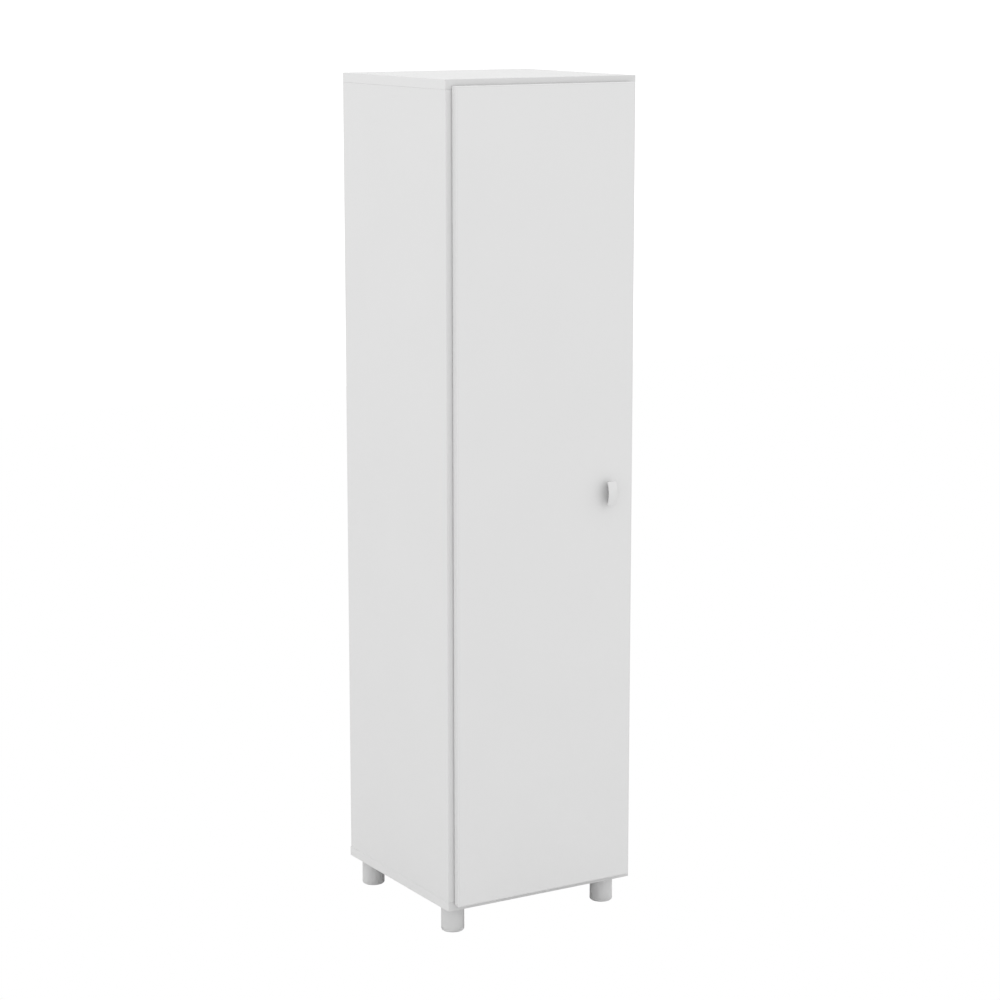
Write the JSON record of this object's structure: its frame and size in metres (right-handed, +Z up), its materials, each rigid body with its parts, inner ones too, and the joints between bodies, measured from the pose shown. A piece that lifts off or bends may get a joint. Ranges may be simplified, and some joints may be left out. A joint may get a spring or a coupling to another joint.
{
  "type": "broom cupboard",
  "caption": "Tall narrow cupboard with one side-hung door, a small bow handle, a high shelf over the broom space and short round legs.",
  "frame": {"origin": "on the floor, in the middle of the whole cupboard's width and depth, handle included", "axes": "+Z up; the door faces -Y; +X runs to the right for someone facing the door"},
  "size_m": [0.4, 0.4264, 1.583],
  "materials": {
    "white_melamine_board": "satin white melamine over chipboard",
    "white_hardboard": "white-faced hardboard",
    "white_plastic": "satin moulded plastic",
    "plated_steel": "nickel-plated",
    "cast_zinc": "as cast",
    "beech_wood": "bare beech",
    "clear_soft_plastic": "clear soft dots"
  },
  "bodies": {
    "carcass": {"back_panel": "white_hardboard", "back_panel_nails": "plated_steel", "bottom_hinge_arm": "plated_steel", "bottom_hinge_plate": "plated_steel", "bottom_panel": "white_melamine_board", "cam_bolts": "plated_steel", "cam_locks": "cast_zinc", "front_left_leg": "white_plastic", "front_left_leg_glide": "white_plastic", "front_right_leg": "white_plastic", "front_right_leg_glide": "white_plastic", "hinge_arm_screws": "plated_steel", "hinge_plate_screws": "plated_steel", "left_side_panel": "white_melamine_board", "leg_inserts": "plated_steel", "leg_studs": "plated_steel", "middle_hinge_arm": "plated_steel", "middle_hinge_plate": "plated_steel", "rear_left_leg": "white_plastic", "rear_left_leg_glide": "white_plastic", "rear_right_leg": "white_plastic", "rear_right_leg_glide": "white_plastic", "right_side_panel": "white_melamine_board", "shelf_pins": "plated_steel", "top_hinge_arm": "plated_steel", "top_hinge_plate": "plated_steel", "top_panel": "white_melamine_board", "upper_shelf": "white_melamine_board", "wall_bracket": "plated_steel", "wall_bracket_screws": "plated_steel", "wooden_dowels": "beech_wood"},
    "door": {"door_panel": "white_melamine_board", "handle": "white_plastic", "handle_screws": "plated_steel", "door_bumpers": "clear_soft_plastic", "hinge_cup_screws": "plated_steel", "bottom_hinge_cup": "plated_steel", "middle_hinge_cup": "plated_steel", "top_hinge_cup": "plated_steel", "bottom_hinge_pin": "plated_steel", "middle_hinge_pin": "plated_steel", "top_hinge_pin": "plated_steel"}
  },
  "joints": [
    {"name": "door_hinge", "type": "hinge", "parent": "carcass", "child": "door", "pos_m": [-0.1821, -0.18745, 0.818], "axis": [0, 0, -1], "range_deg": [0, 100]}
  ]
}
